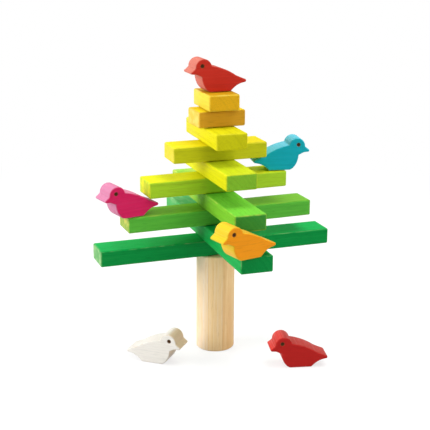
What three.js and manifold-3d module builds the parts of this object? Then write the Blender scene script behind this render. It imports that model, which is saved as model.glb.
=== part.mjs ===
// Balancing tree game: crossed wooden branches stacked on a round trunk, with birds perched on them.
// Millimetres, +Z up. The origin is the centre of the trunk's foot, +X runs to the right along the
// lowest branch and +Y to the back.
import * as THREE from 'three';
import { RoundedBoxGeometry } from 'three/addons/geometries/RoundedBoxGeometry.js';
import { mergeVertices } from 'three/addons/utils/BufferGeometryUtils.js';
import Module from 'manifold-3d';

// Trunk
const trunkDiameter = 32;
const trunkHeight = 84;
const trunkRimRound = 1.5;
const trunkSides = 48;
const trunkRimSteps = 3;

// Branches: five pairs, each pair shorter than the one below by the same step
const branchWidth = 26;
const branchThickness = 13.2;
const shortestBranch = 40;
const branchLengthStep = 40;
const branchEdgeRound = 1.4;
const branchEdgeSteps = 2;

// Clearances
const seatGap = 0.3; // between a piece and what it rests on
const tailGap = 0.3; // between a bird's tail and the branch that reaches over it
const swingGap = 0.3; // between a perched bird and the circle that a branch sweeps when it is turned

// Birds: one outline, seen from the side with the beak towards +X and the base on Y = 0
const birdThickness = 18;
const birdEdgeRound = 0.9;
const birdEdgeSteps = 2;
const birdCurveSteps = 6;
const planSteps = 40; // for the outline that finds how near to the tree a bird can sit
const headRadius = 7.1;
const headCentre = [14.6, 19.75];
const foreheadAngle = 0;
const napeAngle = 168;
const beakTipRadius = 1.3;
const beakTipCentre = [24.1, 16];
const beakLowAngle = -80;
const beakHighAngle = 45;
const browBend = [22.2, 18.8];
const chin = [20.6, 14.4];
const throat = [16.3, 12.3];
const chestBends = [[13.2, 1.2], [16, 7]];
const baseFront = 8.8;
const baseBack = -7.9;
const baseBackBend = -8.9;
const underTailFoot = [-9.4, 0.7];
const underTailBends = [[-17.5, 6.1], [-14.3, 5.7]];
const tailTipRadius = 1.4;
const tailTipCentre = [-20.7, 8.1];
const tailHighAngle = 113;
const tailLowAngle = 260;
const tailRootBend = [-15.9, 11.5];
const tailRoot = [-13, 12.9];
const backBends = [[2.5, 20.3], [-5.5, 18.2]];
const eyeCentre = [15.8, 21.2];
const eyeDiameter = 3.4;
const eyeDepth = 0.5;
const eyeSides = 16;

// How each branch was laid, from the lowest up: its middle, off the trunk's axis, and its turn in degrees
const branches = [
  { colour: 0x0b9a48, x: -1, y: 2.5, turn: 0 },
  { colour: 0x0f9a45, x: -1, y: 0, turn: -1.4 },
  { colour: 0x5fae3c, x: 1, y: 0.5, turn: 1.2 },
  { colour: 0x5aa833, x: -0.5, y: -1.5, turn: -0.7 },
  { colour: 0xa8cc2c, x: -1.5, y: 0.5, turn: 2 },
  { colour: 0xa2c81f, x: -1, y: -1, turn: 0 },
  { colour: 0xd6d01c, x: -1, y: -2, turn: -0.3 },
  { colour: 0xdbd30e, x: 0, y: 1, turn: -1.3 },
  { colour: 0xe6ad1e, x: 0.5, y: 0.5, turn: 1.2 },
  { colour: 0xf0be1c, x: 1, y: 2.5, turn: -0.8 },
];

// Perched birds: the heading in degrees, where 0 looks to the right and 180 to the left, the branch, which
// end of it (-1 left or front, 1 right or back), how far off its middle line, and the branches whose swing
// the bird clears. One with its tail under such a branch clears it only with its higher parts.
const perchedBirds = [
  {
    name: 'bird_blue', colour: 0x10aab4, heading: -9,
    branch: 5, end: 1, aside: -2.5, clears: [7], tailUnder: true,
  },
  {
    name: 'bird_pink', colour: 0xd02a62, heading: 192,
    branch: 3, end: -1, aside: -4.8, clears: [5], tailUnder: true,
  },
  {
    name: 'bird_yellow', colour: 0xf0a020, heading: 193,
    branch: 2, end: -1, aside: 8.5, clears: [3, 4], tailUnder: false,
  },
];

// The bird on the top branch, by its place off the middle of that branch
const topBird = { name: 'bird_red', colour: 0xcf3424, x: 1.3, y: 2.4, heading: 181 };

// Birds on the table, by the middle of the base
const tableBirds = [
  { name: 'bird_white', colour: 0xefe9dc, x: -57, y: -12, heading: -40 },
  { name: 'bird_crimson', colour: 0xb8241f, x: 52, y: -59.5, heading: 167 },
];

const trunkColour = 0xe6c79a;
const woodRoughness = 0.6;

const wasm = await Module();
wasm.setup();

const radians = THREE.MathUtils.degToRad;

function woodMesh(name, geometry, colour) {
  const material = new THREE.MeshStandardMaterial({ color: colour, roughness: woodRoughness, metalness: 0 });
  const mesh = new THREE.Mesh(geometry, material);
  mesh.name = name;
  return mesh;
}

// Booleans

function toSolid(geometry) {
  const plain = geometry.clone();
  plain.deleteAttribute('normal');
  plain.deleteAttribute('uv');
  const merged = mergeVertices(plain);
  return new wasm.Manifold(new wasm.Mesh({
    numProp: 3,
    vertProperties: new Float32Array(merged.attributes.position.array),
    triVerts: new Uint32Array(merged.index.array),
  }));
}

function toGeometry(solid) {
  const mesh = solid.getMesh();
  const geometry = new THREE.BufferGeometry();
  geometry.setAttribute('position', new THREE.BufferAttribute(new Float32Array(mesh.vertProperties), 3));
  geometry.setIndex(new THREE.BufferAttribute(new Uint32Array(mesh.triVerts), 1));
  geometry.computeVertexNormals();
  return geometry;
}

// Trunk: a turned post with rounded rims

function makeTrunk() {
  const radius = trunkDiameter / 2;
  const rim = new THREE.Path();
  rim.moveTo(0, 0);
  rim.lineTo(radius - trunkRimRound, 0);
  rim.absarc(radius - trunkRimRound, trunkRimRound, trunkRimRound, radians(-90), 0, false);
  rim.absarc(radius - trunkRimRound, trunkHeight - trunkRimRound, trunkRimRound, 0, radians(90), false);
  rim.lineTo(0, trunkHeight);
  const geometry = new THREE.LatheGeometry(rim.getPoints(trunkRimSteps), trunkSides);
  geometry.rotateX(Math.PI / 2);
  return woodMesh('trunk', geometry, trunkColour);
}

// Branches

function runsAcross(level) {
  return level % 2 === 1;
}

function branchLength(level) {
  const pairFromTop = Math.floor((branches.length - level) / 2);
  return shortestBranch + pairFromTop * branchLengthStep;
}

function branchBottom(level) {
  return trunkHeight + seatGap + (level - 1) * (branchThickness + seatGap);
}

function branchTop(level) {
  return branchBottom(level) + branchThickness;
}

// The way the branch runs: left to right, or front to back, with its small turn
function branchHeading(level) {
  return radians(branches[level - 1].turn + (runsAcross(level) ? 0 : 90));
}

// The farthest that a branch's rounded corners are from its middle
function branchSwing(level) {
  const cornerX = branchLength(level) / 2 - branchEdgeRound;
  const cornerY = branchWidth / 2 - branchEdgeRound;
  return Math.hypot(cornerX, cornerY) + branchEdgeRound;
}

function makeBranch(level) {
  const { colour, x, y } = branches[level - 1];
  const length = branchLength(level);
  const geometry =
    new RoundedBoxGeometry(length, branchWidth, branchThickness, branchEdgeSteps, branchEdgeRound);
  const mesh = woodMesh(`branch_${level}`, geometry, colour);
  mesh.position.set(x, y, branchBottom(level) + branchThickness / 2);
  mesh.rotation.z = branchHeading(level);
  return mesh;
}

// Birds

function birdOutline() {
  const outline = new THREE.Shape();
  outline.moveTo(baseBack, 0);
  outline.lineTo(baseFront, 0);
  outline.bezierCurveTo(...chestBends[0], ...chestBends[1], ...throat);
  outline.lineTo(...chin);
  outline.absarc(...beakTipCentre, beakTipRadius, radians(beakLowAngle), radians(beakHighAngle), false);
  const forehead = radians(foreheadAngle);
  const brow = [
    headCentre[0] + headRadius * Math.cos(forehead),
    headCentre[1] + headRadius * Math.sin(forehead),
  ];
  outline.quadraticCurveTo(...browBend, ...brow);
  outline.absarc(...headCentre, headRadius, forehead, radians(napeAngle), false);
  outline.bezierCurveTo(...backBends[0], ...backBends[1], ...tailRoot);
  const tailHigh = radians(tailHighAngle);
  const tailTop = [
    tailTipCentre[0] + tailTipRadius * Math.cos(tailHigh),
    tailTipCentre[1] + tailTipRadius * Math.sin(tailHigh),
  ];
  outline.quadraticCurveTo(...tailRootBend, ...tailTop);
  outline.absarc(...tailTipCentre, tailTipRadius, tailHigh, radians(tailLowAngle), false);
  outline.bezierCurveTo(...underTailBends[0], ...underTailBends[1], ...underTailFoot);
  outline.quadraticCurveTo(baseBackBend, 0, baseBack, 0);
  return outline;
}

// A bird with its base on Z = 0, looking along +X, with an eye sunk into each flat side
function makeBirdGeometry(outline) {
  const body = new THREE.ExtrudeGeometry(outline, {
    depth: birdThickness - 2 * birdEdgeRound,
    curveSegments: birdCurveSteps,
    bevelThickness: birdEdgeRound,
    bevelSize: birdEdgeRound,
    bevelOffset: -birdEdgeRound,
    bevelSegments: birdEdgeSteps,
  });
  body.translate(0, 0, birdEdgeRound - birdThickness / 2);
  body.rotateX(Math.PI / 2);
  let solid = toSolid(body);
  for (const side of [-1, 1]) {
    const eye = new THREE.CylinderGeometry(eyeDiameter / 2, eyeDiameter / 2, 2 * eyeDepth, eyeSides);
    eye.translate(eyeCentre[0], side * birdThickness / 2, eyeCentre[1]);
    solid = solid.subtract(toSolid(eye));
  }
  return toGeometry(solid);
}

// The parts of a bird that stand at least so high, seen from above, around the middle of its base
function birdPlan(outline, heading, height) {
  const plan = [];
  for (const point of outline.getPoints(planSteps)) {
    if (point.y >= height) {
      for (const side of [-1, 0, 1]) {
        const corner = new THREE.Vector2(point.x, side * birdThickness / 2);
        plan.push(corner.rotateAround(new THREE.Vector2(), radians(heading)));
      }
    }
  }
  return plan;
}

// A bird at the end of a branch sits just outside the circles that the branches above sweep
function perchPlace({ branch: level, end, aside, heading, clears, tailUnder }, outline) {
  const { x, y } = branches[level - 1];
  const along = branchHeading(level);
  const outwards = new THREE.Vector2(Math.cos(along), Math.sin(along)).multiplyScalar(end);
  const start = new THREE.Vector2(x - aside * Math.sin(along), y + aside * Math.cos(along));
  const distances = [];
  for (const above of clears) {
    const middle = new THREE.Vector2(branches[above - 1].x, branches[above - 1].y);
    const radius = branchSwing(above) + swingGap;
    const clearHeight = tailUnder ? branchBottom(above) - tailGap - branchTop(level) - seatGap : 0;
    for (const corner of birdPlan(outline, heading, clearHeight)) {
      const offset = corner.add(start).sub(middle);
      const beside = offset.cross(outwards);
      if (Math.abs(beside) < radius) {
        distances.push(Math.sqrt(radius ** 2 - beside ** 2) - offset.dot(outwards));
      }
    }
  }
  return start.addScaledVector(outwards, Math.max(...distances));
}

function makeBird({ name, colour, heading }, geometry, place, height) {
  const mesh = woodMesh(name, geometry, colour);
  mesh.position.set(place.x, place.y, height);
  mesh.rotation.z = radians(heading);
  return mesh;
}

const tree = new THREE.Group();
tree.add(makeTrunk());
for (let level = 1; level <= branches.length; level += 1) {
  tree.add(makeBranch(level));
}
const outline = birdOutline();
const birdGeometry = makeBirdGeometry(outline);
for (const bird of perchedBirds) {
  tree.add(makeBird(bird, birdGeometry, perchPlace(bird, outline), branchTop(bird.branch) + seatGap));
}
const topBranch = branches[branches.length - 1];
const topPlace = { x: topBranch.x + topBird.x, y: topBranch.y + topBird.y };
tree.add(makeBird(topBird, birdGeometry, topPlace, branchTop(branches.length) + seatGap));
for (const bird of tableBirds) {
  tree.add(makeBird(bird, birdGeometry, bird, 0));
}

export default tree;
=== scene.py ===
import math
import bmesh
import bpy
from mathutils import Matrix, Vector


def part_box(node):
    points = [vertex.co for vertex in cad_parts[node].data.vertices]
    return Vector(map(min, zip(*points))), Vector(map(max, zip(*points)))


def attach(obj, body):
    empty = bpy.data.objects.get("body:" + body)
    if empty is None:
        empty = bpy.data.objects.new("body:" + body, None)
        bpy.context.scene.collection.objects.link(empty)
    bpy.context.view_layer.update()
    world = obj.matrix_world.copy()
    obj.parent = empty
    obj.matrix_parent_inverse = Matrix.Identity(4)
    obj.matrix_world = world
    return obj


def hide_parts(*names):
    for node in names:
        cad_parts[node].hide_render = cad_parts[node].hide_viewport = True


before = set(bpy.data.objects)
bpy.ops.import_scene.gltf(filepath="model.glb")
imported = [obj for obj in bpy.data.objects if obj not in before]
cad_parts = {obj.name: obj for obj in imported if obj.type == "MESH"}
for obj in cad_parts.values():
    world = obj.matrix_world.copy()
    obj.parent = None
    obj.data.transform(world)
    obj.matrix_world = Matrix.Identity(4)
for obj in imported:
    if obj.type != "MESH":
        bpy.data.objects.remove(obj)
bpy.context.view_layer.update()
mm = 0.001
plainWhite = (1.0, 1.0, 1.0, 1.0)
scene = bpy.context.scene


# Node building

class Signal:  # one output socket, which can be reckoned with

    def __init__(self, graph, socket):
        self.graph = graph
        self.socket = socket

    def math(self, operation, *values):
        return self.graph.node("ShaderNodeMath", {"operation": operation}, dict(enumerate(values)))

    def __add__(self, other):
        return self.math("ADD", self, other)

    def __sub__(self, other):
        return self.math("SUBTRACT", self, other)

    def __rsub__(self, other):
        return self.math("SUBTRACT", other, self)

    def __mul__(self, other):
        return self.math("MULTIPLY", self, other)

    def __truediv__(self, other):
        return self.math("DIVIDE", self, other)

    def __rtruediv__(self, other):
        return self.math("DIVIDE", other, self)

    def __pow__(self, other):
        return self.math("POWER", self, other)

    def __abs__(self):
        return self.math("ABSOLUTE", self)

    __radd__ = __add__
    __rmul__ = __mul__

    def least(self, other):
        return self.math("MINIMUM", self, other)

    def most(self, other):
        return self.math("MAXIMUM", self, other)

    def ease(self, low, high):  # 0 below low, 1 above high, smooth between
        return self.graph.node(
            "ShaderNodeMapRange", {"interpolation_type": "SMOOTHSTEP"},
            {"Value": self, "From Min": low, "From Max": high})

    def output(self, name):
        return Signal(self.graph, self.socket.node.outputs[name])


class Graph:  # a node tree that is written from code

    def __init__(self, tree):
        self.tree = tree

    def node(self, kind, settings=None, sockets=None, output=0):
        made = self.tree.nodes.new(kind)
        for name, value in (settings or {}).items():
            if name == "stops":
                setStops(made.color_ramp.elements, value)
            else:
                setattr(made, name, value)
        for key, value in (sockets or {}).items():
            if isinstance(value, Signal):
                self.tree.links.new(value.socket, made.inputs[key])
            else:
                made.inputs[key].default_value = value
        return Signal(self, made.outputs[output]) if made.outputs else None

    def vector(self, operation, first, second, output="Vector"):
        return self.node("ShaderNodeVectorMath", {"operation": operation}, {0: first, 1: second}, output)

    def blend(self, share, first, second):  # a colour mix
        return self.node("ShaderNodeMix", {"data_type": "RGBA"}, {0: share, 6: first, 7: second}, 2)

    def attribute(self, name):
        return self.node("ShaderNodeAttribute", {"attribute_name": name}, output="Fac")


def setStops(elements, stops):
    while len(elements) < len(stops):
        elements.new(1.0)
    for element, (position, colour) in zip(elements, stops):
        element.position = position
        element.color = colour


def newMaterial(name):
    material = bpy.data.materials.new(name)
    material.use_nodes = True
    material.node_tree.nodes.clear()
    return material, Graph(material.node_tree)


def linear(red, green, blue):  # screen bytes to a linear colour
    channels = []
    for value in (red / 255, green / 255, blue / 255):
        channels.append(value / 12.92 if value <= 0.04045 else ((value + 0.055) / 1.055) ** 2.4)
    return (*channels, 1.0)


def mixed(first, second, share):
    return tuple(a + (b - a) * share for a, b in zip(first, second))


def shaded(colour, factor):
    return (*(min(1.0, channel * factor) for channel in colour[:3]), 1.0)


# Wood: growth rings round a far-off heart, fibres and pores along the grain, and blotches

woodGrain = {
    "ringSpacing": 2.2,         # mm
    "heart": (0.0, 41.0, -33.0),  # mm from a piece's middle to the heart of the log
    "wander": 2.4,              # rings, how far they stray
    "ringDetail": 2.0,
    "wanderNoise": (130.0, 24.0, 2.0),  # each noise: mm along and across the grain, and detail
    "fibreNoise": (26.0, 0.8, 2.0),
    "poreNoise": (7.0, 0.5, 0.0),
    "blotchNoise": (48.0, 22.0, 3.0),
    "poreLevels": (0.62, 0.72),  # how much of the noise is a pore
}


def noise(graph, local, grading, seed):
    along, across, detail = grading
    scaled = graph.vector("DIVIDE", local, (along * mm, across * mm, across * mm))
    return graph.node(
        "ShaderNodeTexNoise", {"noise_dimensions": "4D"},
        {"Vector": scaled, "W": seed, "Scale": 1.0, "Detail": detail})


def lineNoise(graph, along, detail):
    return graph.node(
        "ShaderNodeTexNoise", {"noise_dimensions": "1D"}, {"W": along, "Scale": 1.0, "Detail": detail})


def localGrain(graph, place, turn):  # coordinates with x along the grain
    here = graph.node("ShaderNodeTexCoord", output="Object")
    return graph.node(
        "ShaderNodeMapping", {"vector_type": "TEXTURE"},
        {"Vector": here, "Location": place, "Rotation": turn})


def woodFigure(graph, local, seed):
    grain = woodGrain
    heart = tuple(distance * mm for distance in grain["heart"])
    section = graph.vector("MULTIPLY", local, (0.0, 1.0, 1.0))
    radius = graph.vector("DISTANCE", section, heart, "Value")
    wander = noise(graph, local, grain["wanderNoise"], seed) - 0.5
    phase = radius / (grain["ringSpacing"] * mm) + wander * grain["wander"] + seed
    return {
        "rings": lineNoise(graph, phase, grain["ringDetail"]),
        "fibre": noise(graph, local, grain["fibreNoise"], seed),
        "pores": noise(graph, local, grain["poreNoise"], seed).ease(*grain["poreLevels"]),
        "blotch": noise(graph, local, grain["blotchNoise"], seed),
    }


def woodTone(figure, finish):  # 0.5 where the wood has its plain colour
    return (0.5 + (figure["rings"] - 0.5) * finish["ringTone"]
            + (figure["fibre"] - 0.5) * finish["fibreTone"]
            + (figure["blotch"] - 0.5) * finish["blotchTone"])


def toneRamp(graph, tone, finish, *colours):  # from the darkest to the lightest
    stops = list(zip(finish["toneStops"], colours))
    return graph.node("ShaderNodeValToRGB", {"stops": stops}, {"Fac": tone})


def finishWood(graph, colour, roughness, height, finish):
    normal = graph.node(
        "ShaderNodeBump", sockets={
            "Strength": finish["bumpStrength"], "Distance": finish["bumpDepth"] * mm, "Height": height})
    shader = graph.node(
        "ShaderNodeBsdfPrincipled", sockets={
            "Base Color": colour, "Roughness": roughness, "Normal": normal,
            "Specular IOR Level": finish["gloss"]})
    graph.node("ShaderNodeOutputMaterial", sockets={"Surface": shader})


def addPiece(name, mesh, node):  # a finished mesh takes the place of its CAD node
    piece = bpy.data.objects.new(name, mesh)
    scene.collection.objects.link(piece)
    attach(piece, node)
    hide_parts(node)


def meshFrom(bm, name):
    mesh = bpy.data.meshes.new(name)
    bm.to_mesh(mesh)
    bm.free()
    return mesh


# Branches

branchBars = {
    "width": 26.0,              # mm
    "shortest": 40.0,           # mm, the top pair
    "lengthStep": 40.0,         # mm longer for each pair further down
    "edgeRound": 1.4,           # mm
    "cornerSteps": 4,
    "lead": 0.4,                # mm of flat that leads into each rounded edge
    "cells": (24, 6, 4),        # flat faces along, across and up a bar
    "leadCells": 2,             # how many of them are leads
    "turns": (0, -1.4, 1.2, -0.7, 2, 0, -0.3, -1.3, 1.2, -0.8),  # degrees, from the lowest up
    "sanding": 0.35,            # how unevenly the edges were rounded, as a share
    "sandingLength": 24.0,      # mm between thin and thick places on an edge
    "sandingDetail": 1.0,
    "seed": 3.7,
    "markSharpness": 3,         # how firmly a mark keeps to its own faces
    "wearReach": 3.4,           # how far the wear spreads from the edges
    "sheenLeft": 0.5,            # painted sheen on the ends that face left, a painted reflection of the bright floor
    "paleRight": 0.12,          # how pale the ends are that face right or to the back
    "paleEven": 0.7,            # how even that is: the rest comes and goes in patches
    "sheenBack": 0.28,           # painted sheen towards the back end of front-to-back bars, a painted reflection of the bright floor
    "sheenSpan": (-0.2, 0.7),    # where the painted sheen sets in, from 0 at the middle to 1 at the end
    # each pair: slot, side and broad face colour of its lower and of its upper bar, end grain, and the
    # pale colour of worn thin dye and of painted sheen; the broad face colours hold painted light:
    # lighter tops, and on the topmost bar a darker top, a painted shadow of the bird on it
    "dyes": (
        ("dark_green_wood", ((2, 149, 66), (14, 178, 82)), ((12, 163, 72), (12, 168, 76)),
         (2, 143, 64), (166, 204, 142)),
        ("leaf_green_wood", ((92, 188, 62), (124, 192, 54)), ((116, 188, 42), (114, 202, 58)),
         (58, 148, 56), (220, 210, 100)),
        ("lime_wood", ((176, 220, 48), (220, 224, 14)), ((214, 212, 10), (197, 212, 26)),
         (137, 196, 50), (246, 238, 48)),
        ("lemon_wood", ((206, 208, 28), (234, 219, 8)), ((220, 212, 10), (212, 207, 10)),
         (210, 207, 16), (226, 206, 84)),
        ("amber_wood", ((219, 161, 40), (238, 212, 20)), ((238, 209, 64), (200, 152, 10)),
         (236, 181, 26), (222, 214, 118)),
    ),
    "ringTone": 0.3,
    "fibreTone": 0.4,
    "blotchTone": 0.3,
    "toneStops": (0.2, 0.5, 0.8),  # where the tone is darkest, plain and lightest
    "deep": 0.68,               # the dye's darkest, as a share of it
    "lift": 1.12,               # and its lightest
    "light": 0.04,              # how far that goes towards the pale colour of wear and painted sheen
    "poreDark": 0.25,
    "wear": 0.45,
    "wearNoise": (9.0, 5.0, 3.0),  # mm along and across, and detail
    "wearLevels": (0.4, 0.7),   # how much of the noise is worn
    "roughness": 0.6,
    "fibreRough": 0.2,
    "poreRough": 0.1,
    "fibreHeight": 0.5,         # heights and depths are shares of the bump's depth
    "ringHeight": 0.3,
    "poreDepth": 0.7,
    "bumpStrength": 0.35,
    "bumpDepth": 0.12,          # mm
    "gloss": 0.1,
}


def branchWood(name, dye, paintedLightFace, endDye, wearAndSheenTint, place, turn, seed):
    bars = branchBars
    material, graph = newMaterial(name)
    local = localGrain(graph, place, turn)
    figure = woodFigure(graph, local, seed)
    tone = woodTone(figure, bars)
    woods = []
    for base in (dye, paintedLightFace, endDye):
        light = mixed(shaded(base, bars["lift"]), wearAndSheenTint, bars["light"])
        woods.append(toneRamp(graph, tone, bars, shaded(base, bars["deep"]), base, light))
    side, broadFace, endGrain = woods
    # Broad faces take a colour with painted light in it: lighter tops on most bars, and a painted shadow
    # of the bird on the topmost bar
    colour = graph.blend(graph.attribute("broadFace"), side, broadFace)
    colour = graph.blend(graph.attribute("endGrain"), colour, endGrain)
    pore = shaded(dye, bars["deep"] ** 2)
    colour = graph.blend(figure["pores"] * bars["poreDark"], colour, pore)
    patchy = noise(graph, local, bars["wearNoise"], seed).ease(*bars["wearLevels"])
    # Painted sheen on left ends and back halves, and paler right and back ends, coming and going in
    # patches
    colour = graph.blend(graph.attribute("paleEnd") * (bars["paleEven"] + patchy), colour, wearAndSheenTint)
    worn = graph.attribute("edgeWear") * patchy * bars["wear"]
    colour = graph.blend(worn, colour, wearAndSheenTint)
    roughness = (bars["roughness"] + (figure["fibre"] - 0.5) * bars["fibreRough"]
                 + figure["pores"] * bars["poreRough"])
    height = (figure["fibre"] * bars["fibreHeight"] + figure["rings"] * bars["ringHeight"]
              - figure["pores"] * bars["poreDepth"])
    finishWood(graph, colour, roughness, height, bars)
    return material


def addInput(tree, name, kind):
    tree.interface.new_socket(name=name, in_out="INPUT", socket_type=kind)


def makeBranchTree():  # a bar with rounded, hand-sanded edges
    bars = branchBars
    tree = bpy.data.node_groups.new("sandedBranch", "GeometryNodeTree")
    for name in ("Length", "Width", "Thickness", "Edge Round", "Sanding", "Seed", "Turn",
                 "Pale Start", "Pale Finish", "Pale Fade"):
        addInput(tree, name, "NodeSocketFloat")
    addInput(tree, "Corner Steps", "NodeSocketInt")
    addInput(tree, "Middle", "NodeSocketVector")
    addInput(tree, "Wood", "NodeSocketMaterial")
    tree.interface.new_socket(name="Geometry", in_out="OUTPUT", socket_type="NodeSocketGeometry")

    graph = Graph(tree)
    given = graph.node("NodeGroupInput")
    steps = given.output("Corner Steps")
    counts = [steps * 2 + cells for cells in bars["cells"]]
    cube = graph.node("GeometryNodeMeshCube", sockets={
        "Size": (2.0, 2.0, 2.0), "Vertices X": counts[0] + 1,
        "Vertices Y": counts[1] + 1, "Vertices Z": counts[2] + 1})
    corner = graph.node("ShaderNodeSeparateXYZ", sockets={
        0: graph.node("GeometryNodeInputPosition")})

    # Edges were sanded by hand, so their radius drifts along the bar
    along = corner * given.output("Length") / (2 * bars["sandingLength"] * mm)
    drift = lineNoise(graph, along + given.output("Seed"), bars["sandingDetail"])
    edge = given.output("Edge Round") * (1 + (drift - 0.5) * given.output("Sanding") * 2)

    # Each coordinate runs along the flat, then through a short lead, then round the edge
    flats = []
    leans = []
    for axis, size, cells, count in zip("XYZ", ("Length", "Width", "Thickness"), bars["cells"], counts):
        place = corner.output(axis)
        side = place.math("SIGN", place)
        reach = abs(place)
        leadAt = (cells - bars["leadCells"]) / count
        edgeAt = cells / count
        lead = bars["lead"] * mm
        inner = (reach / leadAt).least(1.0) * (given.output(size) / 2 - edge - lead)
        inner = inner + ((reach - leadAt) / (edgeAt - leadAt)).most(0.0).least(1.0) * lead
        angle = ((reach - edgeAt) / (1 - edgeAt)).most(0.0) * (math.pi / 4)
        flats.append(side * inner)
        leans.append(side * angle.math("TANGENT", angle))
    flat = graph.node("ShaderNodeCombineXYZ", sockets=dict(enumerate(flats)))
    lean = graph.node("ShaderNodeCombineXYZ", sockets=dict(enumerate(leans)))
    outward = graph.node("ShaderNodeVectorMath", {"operation": "NORMALIZE"}, {0: lean})
    swell = graph.node("ShaderNodeVectorMath", {"operation": "SCALE"}, {0: outward, "Scale": edge})

    # The marks are read off the cube, so they are stored before it is shaped
    facing = graph.node("ShaderNodeSeparateXYZ", sockets={0: outward})
    across = [abs(facing.output(axis)) for axis in "XYZ"]
    sharp = bars["markSharpness"]
    # Painted reflection: ends that face left and the back halves of front-to-back bars are paled as a
    # painted sheen; ends facing right or back are paled a little
    sheenStart = (0 - facing).most(0.0) ** sharp * given.output("Pale Start")
    paleFinish = facing.most(0.0) ** sharp * given.output("Pale Finish")
    flatEnd = (bars["cells"][0] - bars["leadCells"]) / counts[0]
    backSheen = (corner / flatEnd).ease(*bars["sheenSpan"]) * given.output("Pale Fade")
    marks = {
        "endGrain": across[0] ** sharp,
        "broadFace": across[2] ** sharp,
        "paleEnd": (sheenStart + paleFinish).most(backSheen),
        "edgeWear": ((1 - across[0].most(across[1]).most(across[2])) * bars["wearReach"]).least(1.0),
    }
    bar = cube
    for name, value in marks.items():
        bar = graph.node(
            "GeometryNodeStoreNamedAttribute", {"data_type": "FLOAT", "domain": "POINT"},
            {"Geometry": bar, "Name": name, "Value": value})
    bar = graph.node("GeometryNodeSetPosition", sockets={
        "Geometry": bar, "Position": graph.vector("ADD", flat, swell)})
    turn = graph.node("ShaderNodeCombineXYZ", sockets={"Z": given.output("Turn")})
    bar = graph.node("GeometryNodeTransform", sockets={
        "Geometry": bar, "Translation": given.output("Middle"), "Rotation": turn})
    bar = graph.node("GeometryNodeSetShadeSmooth", sockets={"Geometry": bar})
    bar = graph.node("GeometryNodeRealizeInstances", sockets={"Geometry": bar})
    bar = graph.node("GeometryNodeSetMaterial", sockets={
        "Geometry": bar, "Material": given.output("Wood")})
    graph.node("NodeGroupOutput", sockets={"Geometry": bar})
    return tree


def runTree(tree, values):  # the tree's result as a plain mesh
    carrier = bpy.data.objects.new("carrier", bpy.data.meshes.new("carrier"))
    scene.collection.objects.link(carrier)
    modifier = carrier.modifiers.new("shape", "NODES")
    modifier.node_group = tree
    identifiers = {item.name: item.identifier for item in tree.interface.items_tree}
    for name, value in values.items():
        modifier[identifiers[name]] = value
    bpy.context.view_layer.update()
    evaluated = carrier.evaluated_get(bpy.context.evaluated_depsgraph_get())
    mesh = bpy.data.meshes.new_from_object(evaluated)
    carrier.modifiers.remove(modifier)
    bpy.data.objects.remove(carrier)
    return mesh


def makeBranches():
    bars = branchBars
    tree = makeBranchTree()
    pairs = len(bars["dyes"])
    for index, turn in enumerate(bars["turns"]):
        node = f"branch_{index + 1}"
        pair = index // 2
        frontToBack = index % 2 == 1
        low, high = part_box(node)
        middle = (low + high) / 2
        heading = math.radians(turn + (90 if frontToBack else 0))
        slot, lower, upper, endDye, wearAndSheenTint = bars["dyes"][pair]
        sideDye, paintedLightFace = upper if frontToBack else lower
        seed = bars["seed"] * (index + 1)
        colours = [linear(*colour) for colour in (sideDye, paintedLightFace, endDye, wearAndSheenTint)]
        wood = branchWood(f"{node}_dyed", *colours, middle, (0, 0, heading), seed)
        mesh = runTree(tree, {
            "Length": (bars["shortest"] + bars["lengthStep"] * (pairs - 1 - pair)) * mm,
            "Width": bars["width"] * mm,
            "Thickness": high.z - low.z,
            "Edge Round": bars["edgeRound"] * mm,
            "Sanding": bars["sanding"],
            "Seed": seed,
            "Turn": heading,
            "Pale Start": 0.0 if frontToBack else bars["sheenLeft"],
            "Pale Finish": bars["paleRight"],
            "Pale Fade": bars["sheenBack"] if frontToBack else 0.0,
            "Corner Steps": bars["cornerSteps"],
            "Middle": middle,
            "Wood": wood,
        })
        mesh.name = f"{node}_bar"
        addPiece(f"{node}_bar", mesh, node)
    print("branches:", len(bars["turns"]), "bars in", pairs, "dyes")


makeBranches()


# Birds: one sawn outline, u forwards from the middle of the base and v up, in mm

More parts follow.
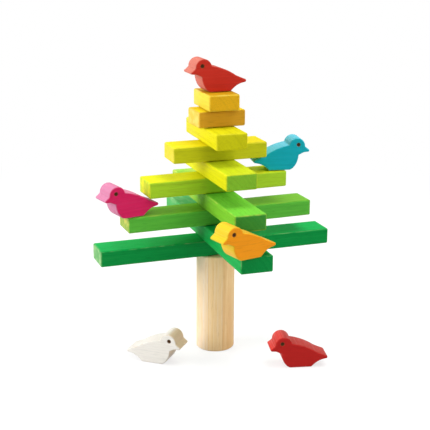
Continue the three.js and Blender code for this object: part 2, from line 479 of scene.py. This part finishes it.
sawnBirds = {
    "thickness": 18.0,
    "edgeRound": 0.9,
    "edgeSteps": 5,
    "sanded": 0.08,             # taken off all round
    "lead": 0.35,               # flat that leads into the rounded edge
    "mitreLimit": 0.5,          # keeps a sharp corner from moving too far in
    "base": (-7.9, 8.8),
    "chestBends": ((13.2, 1.2), (16.0, 7.0)),
    "throat": (16.3, 12.3),
    "chin": (20.6, 14.4),
    "beakTip": ((24.1, 16.0), 1.3, -80, 45),    # centre, radius and angles
    "browBend": (22.2, 18.8),
    "head": ((14.6, 19.75), 7.1, 0, 168),
    "backBends": ((2.5, 20.3), (-5.5, 18.2)),
    "tailRoot": (-13.0, 12.9),
    "tailRootBend": (-15.9, 11.5),
    "tailTip": ((-20.7, 8.1), 1.4, 113, 260),
    "underTailBends": ((-17.5, 6.1), (-14.3, 5.7)),
    "underTailFoot": (-9.4, 0.7),
    "baseBackBend": (-8.9, 0.0),
    "eye": (15.8, 21.2),
    "eyeSides": 28,
    # the eye's burnt hollow: radius and depth
    "eyeHollow": ((1.95, 0.0), (1.8, 0.02), (1.7, 0.1), (1.6, 0.27), (1.35, 0.42), (0.8, 0.5)),
    # each bird: heading in degrees, slot, dye, and the colours of its sawn edges, in front and behind
    "flock": {
        "bird_red": (181, "red_wood", (208, 45, 28), (203, 115, 98), (196, 96, 80)),
        "bird_blue": (-9, "blue_wood", (0, 178, 194), (98, 200, 218), (91, 194, 213)),
        "bird_pink": (192, "pink_wood", (222, 24, 95), (203, 126, 160), (200, 116, 150)),
        "bird_yellow": (193, "orange_wood", (255, 158, 10), (222, 194, 26), (230, 178, 22)),
        "bird_white": (-40, "white_wood", (244, 239, 231), (220, 195, 160), (220, 212, 205)),
        "bird_crimson": (167, "crimson_wood", (190, 26, 22), (198, 44, 36), (178, 52, 44)),
    },
    "seed": 11.3,
    "headStart": (13.0, 18.0),  # where the edges turn from the back's colour to the front's
    "ringTone": 0.2,
    "fibreTone": 0.22,
    "blotchTone": 0.25,
    "toneStops": (0.2, 0.5, 0.8),  # where the tone is darkest, plain and lightest
    "deep": 0.7,                # the dye's darkest, as a share of it
    "light": 0.2,               # how far its lightest goes towards the front edge's colour
    "poreDark": 0.15,
    "sawSize": 0.9,             # between saw marks on an edge
    "sawDetail": 2.0,
    "sawTone": 0.32,
    "edgeDeep": 0.5,            # how far an edge's darkest goes towards the dye
    "edgeLight": 0.2,           # and its lightest towards white
    "wear": 0.5,
    "wearNoise": (6.0, 4.0, 3.0),  # along and across, and detail
    "wearLevels": (0.45, 0.7),  # how much of the noise is worn
    "eyeBurn": (70, 43, 16),
    "burnEdge": (1.1, 1.75),    # from the eye's middle
    "eyeScorch": (122, 78, 40),
    "scorchEdge": (1.5, 2.0),
    "scorch": 0.8,
    "eyeRagged": 0.3,
    "roughness": 0.58,
    "fibreRough": 0.2,
    "burnRough": 0.2,
    "fibreHeight": 0.4,         # heights and depths are shares of the bump's depth
    "poreDepth": 0.6,
    "sawHeight": 0.6,
    "bumpStrength": 0.35,
    "bumpDepth": 0.12,
    "gloss": 0.2,
}


def arc(centre, radius, start, stop, steps):
    points = []
    for step in range(steps + 1):
        angle = math.radians(start + (stop - start) * step / steps)
        points.append((centre[0] + radius * math.cos(angle), centre[1] + radius * math.sin(angle)))
    return points


def curve(controls, steps):  # a Bezier curve of any degree
    degree = len(controls) - 1
    points = []
    for step in range(steps + 1):
        t = step / steps
        weights = [math.comb(degree, k) * t ** k * (1 - t) ** (degree - k) for k in range(degree + 1)]
        points.append(tuple(sum(w * c[axis] for w, c in zip(weights, controls)) for axis in (0, 1)))
    return points


def birdOutline():
    shape = sawnBirds
    back, front = shape["base"]
    beak = arc(*shape["beakTip"], 8)
    head = arc(*shape["head"], 36)
    tail = arc(*shape["tailTip"], 8)
    stretches = [  # the last number is a curve's count of steps
        curve([(back, 0.0), (front, 0.0)], 8),
        curve([(front, 0.0), *shape["chestBends"], shape["throat"]], 20),
        curve([shape["throat"], shape["chin"]], 3),
        curve([shape["chin"], beak[0]], 3),
        beak,
        curve([beak[-1], shape["browBend"], head[0]], 8),
        head,
        curve([head[-1], *shape["backBends"], shape["tailRoot"]], 28),
        curve([shape["tailRoot"], shape["tailRootBend"], tail[0]], 10),
        tail,
        curve([tail[-1], *shape["underTailBends"], shape["underTailFoot"]], 16),
        curve([shape["underTailFoot"], shape["baseBackBend"], (back, 0.0)], 5),
    ]
    outline = []
    for stretch in stretches:
        outline.extend(Vector(point) for point in stretch[:-1])  # each ends where the next begins
    return outline


def insetOutline(outline, inset):  # the outline moved inwards
    limit = sawnBirds["mitreLimit"]
    moved = []
    count = len(outline)
    for index, point in enumerate(outline):
        before = (point - outline[index - 1]).normalized()
        after = (outline[(index + 1) % count] - point).normalized()
        outs = [Vector((way.y, -way.x)) for way in (before, after)]
        out = (outs[0] + outs[1]).normalized()
        moved.append(point - out * (inset / max(limit, out.dot(outs[0]))))
    return moved


def addRing(bm, points, w):
    return [bm.verts.new(Vector((u, w, v)) * mm) for u, v in points]


def bridge(bm, first, second):
    count = len(first)
    for index in range(count):
        after = (index + 1) % count
        bm.faces.new((first[index], first[after], second[after], second[index]))


def ringEdges(bm, ring):
    return [bm.edges.get((ring[index - 1], vertex)) for index, vertex in enumerate(ring)]


def makeBirdMesh():
    shape = sawnBirds
    half = shape["thickness"] / 2 - shape["sanded"]
    edge = shape["edgeRound"]
    outline = insetOutline(birdOutline(), shape["sanded"])
    bm = bmesh.new()
    sawn = bm.verts.layers.float.new("sawnEdge")
    travel = bm.verts.layers.float.new("sawTravel")
    worn = bm.verts.layers.float.new("edgeWear")

    # Rings from the left face round the sawn edge to the right face
    turnings = [math.pi / 2 * step / shape["edgeSteps"] for step in range(shape["edgeSteps"] + 1)]
    profile = [(edge + shape["lead"], half, 0.0)]
    profile += [(edge * (1 - math.sin(a)), half - edge * (1 - math.cos(a)), a) for a in turnings]
    profile += [(inset, -w, a) for inset, w, a in reversed(profile)]
    lengths = [0.0]
    for index in range(1, len(outline)):
        lengths.append(lengths[-1] + (outline[index] - outline[index - 1]).length * mm)
    rings = []
    for inset, w, angle in profile:
        ring = addRing(bm, insetOutline(outline, inset), w)
        for vertex, length in zip(ring, lengths):
            vertex[sawn] = math.sin(angle) ** 2
            vertex[travel] = length
            vertex[worn] = math.sin(2 * angle)
        rings.append(ring)
    for first, second in zip(rings, rings[1:]):
        bridge(bm, first, second)

    # Flat faces, each with the eye's hollow in it
    for side, rim in ((1, rings[0]), (-1, rings[-1])):
        hollow = []
        for radius, depth in shape["eyeHollow"]:
            circle = arc(shape["eye"], radius, 0, 360, shape["eyeSides"])[:-1]
            hollow.append(addRing(bm, circle, side * (half - depth)))
        for first, second in zip(hollow, hollow[1:]):
            bridge(bm, first, second)
        bm.faces.new(hollow[-1])
        edges = ringEdges(bm, rim) + ringEdges(bm, hollow[0])
        bmesh.ops.triangle_fill(bm, use_beauty=True, edges=edges)
    bmesh.ops.recalc_face_normals(bm, faces=bm.faces)
    for face in bm.faces:
        face.smooth = True
    return meshFrom(bm, "bird")


def birdWood(name, dye, edgeColour, backEdgeColour, place, turn, seed):
    birds = sawnBirds
    material, graph = newMaterial(name)
    local = localGrain(graph, place, turn)
    figure = woodFigure(graph, local, seed)
    deep = shaded(dye, birds["deep"])
    light = mixed(dye, edgeColour, birds["light"])
    face = toneRamp(graph, woodTone(figure, birds), birds, deep, dye, light)
    face = graph.blend(figure["pores"] * birds["poreDark"], face, shaded(deep, birds["deep"]))

    # Sawn edges have colours of their own, in front and behind, with marks across them
    saw = lineNoise(graph, graph.attribute("sawTravel") / (birds["sawSize"] * mm), birds["sawDetail"])
    edgeTone = (0.5 + (saw - 0.5) * birds["sawTone"]
                + (figure["blotch"] - 0.5) * birds["blotchTone"])
    edges = []
    for base in (backEdgeColour, edgeColour):
        darkest = mixed(base, dye, birds["edgeDeep"])
        lightest = mixed(base, plainWhite, birds["edgeLight"])
        edges.append(toneRamp(graph, edgeTone, birds, darkest, base, lightest))
    forwards = graph.node("ShaderNodeSeparateXYZ", sockets={0: local}) / mm
    edge = graph.blend(forwards.ease(*birds["headStart"]), *edges)
    sawn = graph.attribute("sawnEdge")
    colour = graph.blend(sawn, face, edge)
    patchy = noise(graph, local, birds["wearNoise"], seed).ease(*birds["wearLevels"])
    colour = graph.blend(graph.attribute("edgeWear") * patchy * birds["wear"], colour, edgeColour)

    # The eye is burnt in, with a scorched ring round it
    ahead, above = birds["eye"]
    sideways = graph.vector("MULTIPLY", local, (1.0, 0.0, 1.0))
    fromEye = graph.vector("DISTANCE", sideways, (ahead * mm, 0.0, above * mm), "Value") / mm
    ragged = fromEye + (figure["fibre"] - 0.5) * birds["eyeRagged"]
    scorch = 1 - ragged.ease(*birds["scorchEdge"])
    burn = 1 - ragged.ease(*birds["burnEdge"])
    colour = graph.blend(scorch * birds["scorch"], colour, linear(*birds["eyeScorch"]))
    colour = graph.blend(burn, colour, linear(*birds["eyeBurn"]))
    roughness = (birds["roughness"] + (figure["fibre"] - 0.5) * birds["fibreRough"]
                 + burn * birds["burnRough"])
    height = (figure["fibre"] * birds["fibreHeight"] - figure["pores"] * birds["poreDepth"]
              + sawn * saw * birds["sawHeight"])
    finishWood(graph, colour, roughness, height, birds)
    return material


def makeBirds():
    bird = makeBirdMesh()
    flock = sawnBirds["flock"]
    for order, (node, (degrees, slot, *dyes)) in enumerate(flock.items()):
        heading = math.radians(degrees)
        mesh = bird.copy()
        mesh.name = f"{node}_sawn"
        mesh.transform(Matrix.Rotation(heading, 4, "Z"))
        low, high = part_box(node)
        corners = [vertex.co for vertex in mesh.vertices]
        spans = [(min(c[axis] for c in corners), max(c[axis] for c in corners)) for axis in (0, 1)]
        place = Vector([(low[axis] + high[axis] - sum(spans[axis])) / 2 for axis in (0, 1)] + [low.z])
        mesh.transform(Matrix.Translation(place))
        colours = [linear(*dye) for dye in dyes]
        wood = birdWood(f"{node}_dyed", *colours, place, (0, 0, heading), sawnBirds["seed"] + order)
        mesh.materials.append(wood)
        addPiece(f"{node}_sawn", mesh, node)
    bpy.data.meshes.remove(bird)
    print("birds:", len(flock), "sawn from one outline")


makeBirds()


# Trunk: a post turned from three glued strips

trunkPost = {
    "rimRound": 1.5,            # mm
    "rimSteps": 6,
    "lead": 0.5,                # mm of flat that leads into each rounded rim
    "capRing": 0.5,             # an inner ring on each end, as a share of the radius
    "sides": 128,
    "strip": 12.3,              # mm, the thickness of a glued strip
    "stripTurn": -20.0,         # degrees, the way across the strips
    "stripSeed": 2.7,           # sets the strips' grain apart
    "seed": 5.2,
    "light": (254, 235, 218),
    "wood": (255, 220, 164),
    "dark": (240, 189, 124),
    "pore": (176, 126, 80),
    "stripToneAndShade": 0.15,          # each strip is darker than the one to its left: strips of unlike tone, and painted shade away from the light on the left
    "ringTone": 0.3,
    "fibreTone": 0.45,
    "blotchTone": 0.25,
    "toneStops": (0.15, 0.5, 0.85),  # where the tone is darkest, plain and lightest
    "glueLine": 0.14,           # mm
    "glueDark": 0.3,
    "poreDark": 0.14,
    "roughness": 0.55,
    "fibreRough": 0.2,
    "poreRough": 0.1,
    "fibreHeight": 0.4,         # heights and depths are shares of the bump's depth
    "ringHeight": 0.3,
    "poreDepth": 0.7,
    "glueDepth": 0.6,
    "bumpStrength": 0.35,
    "bumpDepth": 0.12,          # mm
    "gloss": 0.2,
}


def trunkWood():
    post = trunkPost
    material, graph = newMaterial("trunk_bare")
    turn = math.radians(post["stripTurn"])
    acrossStrips = Vector((math.cos(turn), math.sin(turn), 0))
    grainWay = Vector((0, 0, 1))
    axes = Matrix((grainWay, acrossStrips, grainWay.cross(acrossStrips))).transposed()
    local = localGrain(graph, (0, 0, 0), axes.to_euler())
    sideways = graph.node("ShaderNodeSeparateXYZ", sockets={0: local}, output="Y")
    across = sideways / (post["strip"] * mm) + 0.5
    strip = across.math("FLOOR", across)
    figure = woodFigure(graph, local, strip * post["stripSeed"] + post["seed"])
    # Strips darken to the right: partly their own tone, partly painted shade away from the left light
    tone = woodTone(figure, post) - strip * post["stripToneAndShade"]
    dark, wood, light, pore = (linear(*post[name]) for name in ("dark", "wood", "light", "pore"))
    colour = toneRamp(graph, tone, post, dark, wood, light)
    colour = graph.blend(figure["pores"] * post["poreDark"], colour, pore)
    intoStrip = across - strip
    toGlue = intoStrip.least(1 - intoStrip) * post["strip"]
    glue = 1 - toGlue.ease(post["glueLine"] / 2, post["glueLine"])
    colour = graph.blend(glue * post["glueDark"], colour, pore)
    roughness = (post["roughness"] + (figure["fibre"] - 0.5) * post["fibreRough"]
                 + figure["pores"] * post["poreRough"])
    height = (figure["fibre"] * post["fibreHeight"] + figure["rings"] * post["ringHeight"]
              - figure["pores"] * post["poreDepth"] - glue * post["glueDepth"])
    finishWood(graph, colour, roughness, height, post)
    return material


def addCircle(bm, radius, z, sides):
    return [bm.verts.new((x, y, z)) for x, y in arc((0, 0), radius, 0, 360, sides)[:-1]]


def makeTrunk():
    post = trunkPost
    low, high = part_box("trunk")
    radius = (high.x - low.x) / 2
    rim = post["rimRound"] * mm
    lead = post["lead"] * mm
    cap = radius * post["capRing"]
    profile = [  # radius and height, up the outside
        (cap, low.z), (radius - rim - lead, low.z),
        *arc((radius - rim, low.z + rim), rim, -90, 0, post["rimSteps"]),
        (radius, low.z + rim + lead), (radius, high.z - rim - lead),
        *arc((radius - rim, high.z - rim), rim, 0, 90, post["rimSteps"]),
        (radius - rim - lead, high.z), (cap, high.z),
    ]
    bm = bmesh.new()
    rings = [addCircle(bm, *place, post["sides"]) for place in profile]
    for first, second in zip(rings, rings[1:]):
        bridge(bm, first, second)
    for ring, z in ((rings[0], low.z), (rings[-1], high.z)):
        centre = bm.verts.new((0, 0, z))
        for index, vertex in enumerate(ring):
            bm.faces.new((centre, ring[index - 1], vertex))
    bmesh.ops.recalc_face_normals(bm, faces=bm.faces)
    for face in bm.faces:
        face.smooth = True
    mesh = meshFrom(bm, "trunk_turned")
    mesh.materials.append(trunkWood())
    addPiece("trunk_turned", mesh, "trunk")
    print("trunk:", post["sides"], "sides")


makeTrunk()


# Studio: a pale floor that curves up far away, four softboxes, and the camera

studio = {
    "floorFlat": 5.0,           # m, radius
    "floorRise": (2.6, 1.9),    # m, how far out and up the rim curves
    "floorRings": 12,
    "floorSides": 96,
    "floorShade": (192, 192, 192),  # what it throws back on the object
    "floorPaint": (252, 252, 252),  # what the camera sees
    "floorWhite": 0.7,          # share of plain white in that, close to the object
    "whiteFrom": (0.2, 0.7),    # m, where the floor fades to plain white
    "worldColour": (255, 255, 255),
    "worldStrength": 0.36,
    "aim": (0.0, 0.0, 0.12),    # m, what the softboxes point at
}

softboxes = {  # direction from the object, distance and size in m, power in W, and if gloss shows it
    "left_softbox": ((-0.90, 0.15, 0.36), 1.5, 1.2, 22.5, True),
    "back_softbox": ((0.15, 0.93, 0.33), 1.6, 1.4, 16.5, False),
    "top_softbox": ((0.3, -0.12, 1.0), 1.6, 1.3, 18.0, True),
    "front_softbox": ((0.4, -0.8, 0.45), 1.6, 1.2, 6.5, False),
}

photoView = {  # fitted to the corners of the branches in the photograph
    "azimuth": -20.11,          # degrees
    "elevation": 16.04,
    "roll": 0.29,
    "distance": 870.8,          # mm
    "aimHeight": 115.9,         # mm
    "aimAside": -0.6,           # mm
    "focalPixels": 1048.7,
    "imagePixels": 430,
    "sensorWidth": 36.0,        # mm
    "clipEnd": 100.0,           # m
}


def makeFloor():
    material, graph = newMaterial("pale_floor")
    path = graph.node("ShaderNodeLightPath", output="Is Camera Ray")
    seen = path.most(path.output("Is Glossy Ray")).most(path.output("Is Transmission Ray"))
    tint = graph.blend(seen, linear(*studio["floorShade"]), linear(*studio["floorPaint"]))
    paint = graph.node("ShaderNodeBsdfDiffuse", sockets={"Color": tint})
    shine = graph.node("ShaderNodeEmission", sockets={"Color": plainWhite, "Strength": 1.0})
    here = graph.node("ShaderNodeTexCoord", output="Object")
    away = graph.vector("DISTANCE", here, (0.0, 0.0, 0.0), "Value").ease(*studio["whiteFrom"])
    share = studio["floorWhite"] + away * (1 - studio["floorWhite"])
    surface = graph.node("ShaderNodeMixShader", sockets={0: seen * share, 1: paint, 2: shine})
    graph.node("ShaderNodeOutputMaterial", sockets={"Surface": surface})

    out, up = studio["floorRise"]
    circles = [(studio["floorFlat"], 0.0)]
    for step in range(1, studio["floorRings"] + 1):
        angle = math.pi / 2 * step / studio["floorRings"]
        circles.append((studio["floorFlat"] + out * math.sin(angle), up * (1 - math.cos(angle))))
    bm = bmesh.new()
    rings = [addCircle(bm, *place, studio["floorSides"]) for place in circles]
    for first, second in zip(rings, rings[1:]):
        bridge(bm, second, first)
    for face in bm.faces:
        face.smooth = True
    bm.faces.new(rings[0])
    mesh = meshFrom(bm, "floor")
    mesh.materials.append(material)
    floor = bpy.data.objects.new("floor", mesh)
    scene.collection.objects.link(floor)


def makeLights():
    world = bpy.data.worlds.new("studio")
    world.use_nodes = True
    world.node_tree.nodes.clear()
    graph = Graph(world.node_tree)
    glow = graph.node("ShaderNodeBackground", sockets={
        "Color": linear(*studio["worldColour"]), "Strength": studio["worldStrength"]})
    graph.node("ShaderNodeOutputWorld", sockets={"Surface": glow})
    scene.world = world

    for name, (direction, distance, size, power, shines) in softboxes.items():
        lamp = bpy.data.lights.new(name, "AREA")
        lamp.shape = "DISK"
        lamp.size = size
        lamp.energy = power
        softbox = bpy.data.objects.new(name, lamp)
        away = Vector(direction).normalized()
        softbox.location = Vector(studio["aim"]) + away * distance
        softbox.rotation_euler = away.to_track_quat("Z", "Y").to_euler()
        softbox.visible_camera = False
        softbox.visible_glossy = shines
        scene.collection.objects.link(softbox)


def makeCamera():
    view = photoView
    azimuth, elevation, roll = (math.radians(view[name]) for name in ("azimuth", "elevation", "roll"))
    back = Vector((
        math.sin(azimuth) * math.cos(elevation),
        -math.cos(azimuth) * math.cos(elevation),
        math.sin(elevation)))
    right = Vector((math.cos(azimuth), math.sin(azimuth), 0))
    up = back.cross(right)
    aim = Vector((0, 0, view["aimHeight"] * mm)) + right * view["aimAside"] * mm
    turned = Matrix((
        right * math.cos(roll) + up * math.sin(roll),
        up * math.cos(roll) - right * math.sin(roll),
        back))
    lens = bpy.data.cameras.new("photoCamera")
    lens.sensor_width = view["sensorWidth"]
    lens.lens = view["focalPixels"] / view["imagePixels"] * view["sensorWidth"]
    lens.clip_end = view["clipEnd"]
    camera = bpy.data.objects.new("photoCamera", lens)
    place = Matrix.Translation(aim + back * view["distance"] * mm)
    camera.matrix_world = place @ turned.transposed().to_4x4()
    scene.collection.objects.link(camera)
    scene.camera = camera


makeFloor()
makeLights()
makeCamera()
scene.view_settings.view_transform = "Standard"
print("studio: floor,", len(softboxes), "softboxes and camera")
